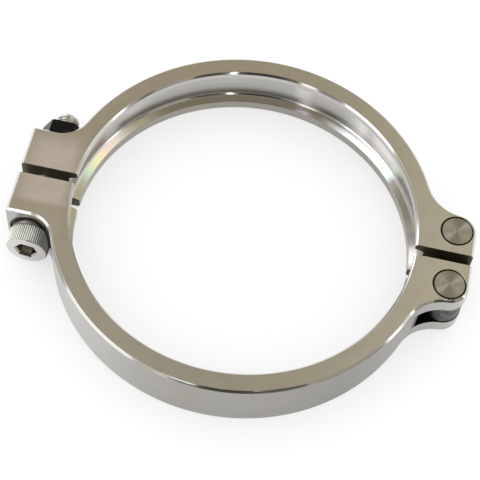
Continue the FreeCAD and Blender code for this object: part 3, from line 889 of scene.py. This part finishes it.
def make_floor():
    """Lay the white floor, which keeps the object's shadow."""
    height = START[0][2]
    corners = [(x * FLOOR_REACH, y * FLOOR_REACH, height) for x, y in ((-1, -1), (1, -1), (1, 1), (-1, 1))]
    mesh = bpy.data.meshes.new("floor")
    mesh.from_pydata(corners, [], [(0, 1, 2, 3)])
    floor = bpy.data.objects.new("floor", mesh)
    COLLECTION.objects.link(floor)
    material = bpy.data.materials.new("paper")
    material.use_nodes = True
    wiring = Wiring(material.node_tree)
    paper = wiring.tree.nodes["Principled BSDF"]
    paper.inputs["Base Color"].default_value = (0.93, 0.93, 0.93, 1)
    paper.inputs["Roughness"].default_value = 0.9
    path = wiring.node("ShaderNodeLightPath").outputs
    seen = wiring.maths("MAXIMUM", path["Is Camera Ray"], path["Is Glossy Ray"])
    seen = wiring.maths("MAXIMUM", seen, path["Is Transmission Ray"])
    glow = wiring.node("ShaderNodeEmission", Color=(1, 1, 1), Strength=1.0)
    mixed = wiring.node("ShaderNodeMixShader")
    wiring.feed(mixed.inputs[0], wiring.times(seen, FLOOR_GLOW))
    wiring.feed(mixed.inputs[1], paper.outputs[0])
    wiring.feed(mixed.inputs[2], glow.outputs[0])
    wiring.feed(wiring.tree.nodes["Material Output"].inputs["Surface"], mixed.outputs[0])
    floor.data.materials.append(material)


def patch_mask(wiring, way, lift, bearings, heights, softness):
    """Give 1 for the directions within a range of bearings and of heights."""
    x, y, _ = way
    middle = math.radians(sum(bearings) / 2)
    ahead = wiring.maths("ADD", wiring.times(x, math.cos(middle)), wiring.times(y, math.sin(middle)))
    aside = wiring.maths("SUBTRACT", wiring.times(y, math.cos(middle)), wiring.times(x, math.sin(middle)))
    bearing = wiring.unsigned(wiring.maths("ARCTAN2", aside, ahead))
    half = (bearings[1] - bearings[0]) / 2
    low, high = heights
    return wiring.times(
        wiring.step(bearing, math.radians(half + softness), math.radians(half - softness)),
        wiring.step(lift, math.radians(low - softness), math.radians(low + softness)),
        wiring.step(lift, math.radians(high + softness), math.radians(high - softness)))


def make_world():
    """Light everything evenly, and let the metal see lamps, dark corners and a dim ceiling."""
    world = bpy.data.worlds.new("studio")
    bpy.context.scene.world = world
    world.use_nodes = True
    wiring = Wiring(world.node_tree)
    way = wiring.split(wiring.node("ShaderNodeTexCoord").outputs["Generated"])
    x, _, z = way
    lift = wiring.maths("ARCSINE", z)
    # the ceiling's tones change with x, and with z as the sine of the height
    ceiling = wiring.mix(wiring.step(z, 0.78, 0.86), CEILING_BACK, CEILING)
    ceiling = wiring.mix(wiring.step(x, 0.02, 0.15), ceiling, CEILING_RIGHT)
    ceiling = wiring.mix(wiring.step(z, 0.925, 0.955), ceiling, CEILING_TOP)
    studio = wiring.mix(wiring.step(z, 0.70, 0.45), ceiling, HORIZON)
    for _, first, last, low, high, softness, colour in SURROUNDINGS:
        inside = patch_mask(wiring, way, lift, (first, last), (low, high), softness)
        studio = wiring.mix(inside, studio, colour)
    path = wiring.node("ShaderNodeLightPath").outputs
    background = world.node_tree.nodes["Background"]
    wiring.feed(background.inputs["Color"], wiring.mix(path["Is Glossy Ray"], EVEN_LIGHT, studio))
    background.inputs["Strength"].default_value = 1.0


def make_camera():
    """Look down on the clamp from its front."""
    data = bpy.data.cameras.new("camera")
    data.sensor_width = 36.0
    data.lens = CAMERA_LENS
    data.clip_start = 0.01
    data.clip_end = 20
    camera = bpy.data.objects.new("camera", data)
    COLLECTION.objects.link(camera)
    camera.matrix_world = (
        Matrix.Translation(CAMERA_PLACE) @ Matrix.Rotation(CAMERA_TURN, 4, "Z")
        @ Matrix.Rotation(CAMERA_TILT, 4, "X") @ Matrix.Rotation(CAMERA_LEAN, 4, "Z"))
    bpy.context.scene.camera = camera


def main():
    """Dress the frame's pieces, add the screw and the nut's thread, and set the stage."""
    band = band_material()
    for half in ("back_half", "front_half"):
        round_edges(dress_node(half, band))
    for pin in PINS:
        dress_node(pin, pin_material(pin))
    round_edges(dress_node("hinge_link", link_material()))
    dark_nut = nut_material()
    round_edges(dress_node("clamp_nut", dark_nut))
    head, shank = make_screw()
    head.data.materials.append(screw_material("screw_head", 0.72))
    shank.data.materials.append(screw_material("screw_shank", 0.8))
    make_nut_thread().data.materials.append(dark_nut)
    make_floor()
    make_world()
    make_camera()
    bpy.context.scene.view_settings.view_transform = "Standard"


main()
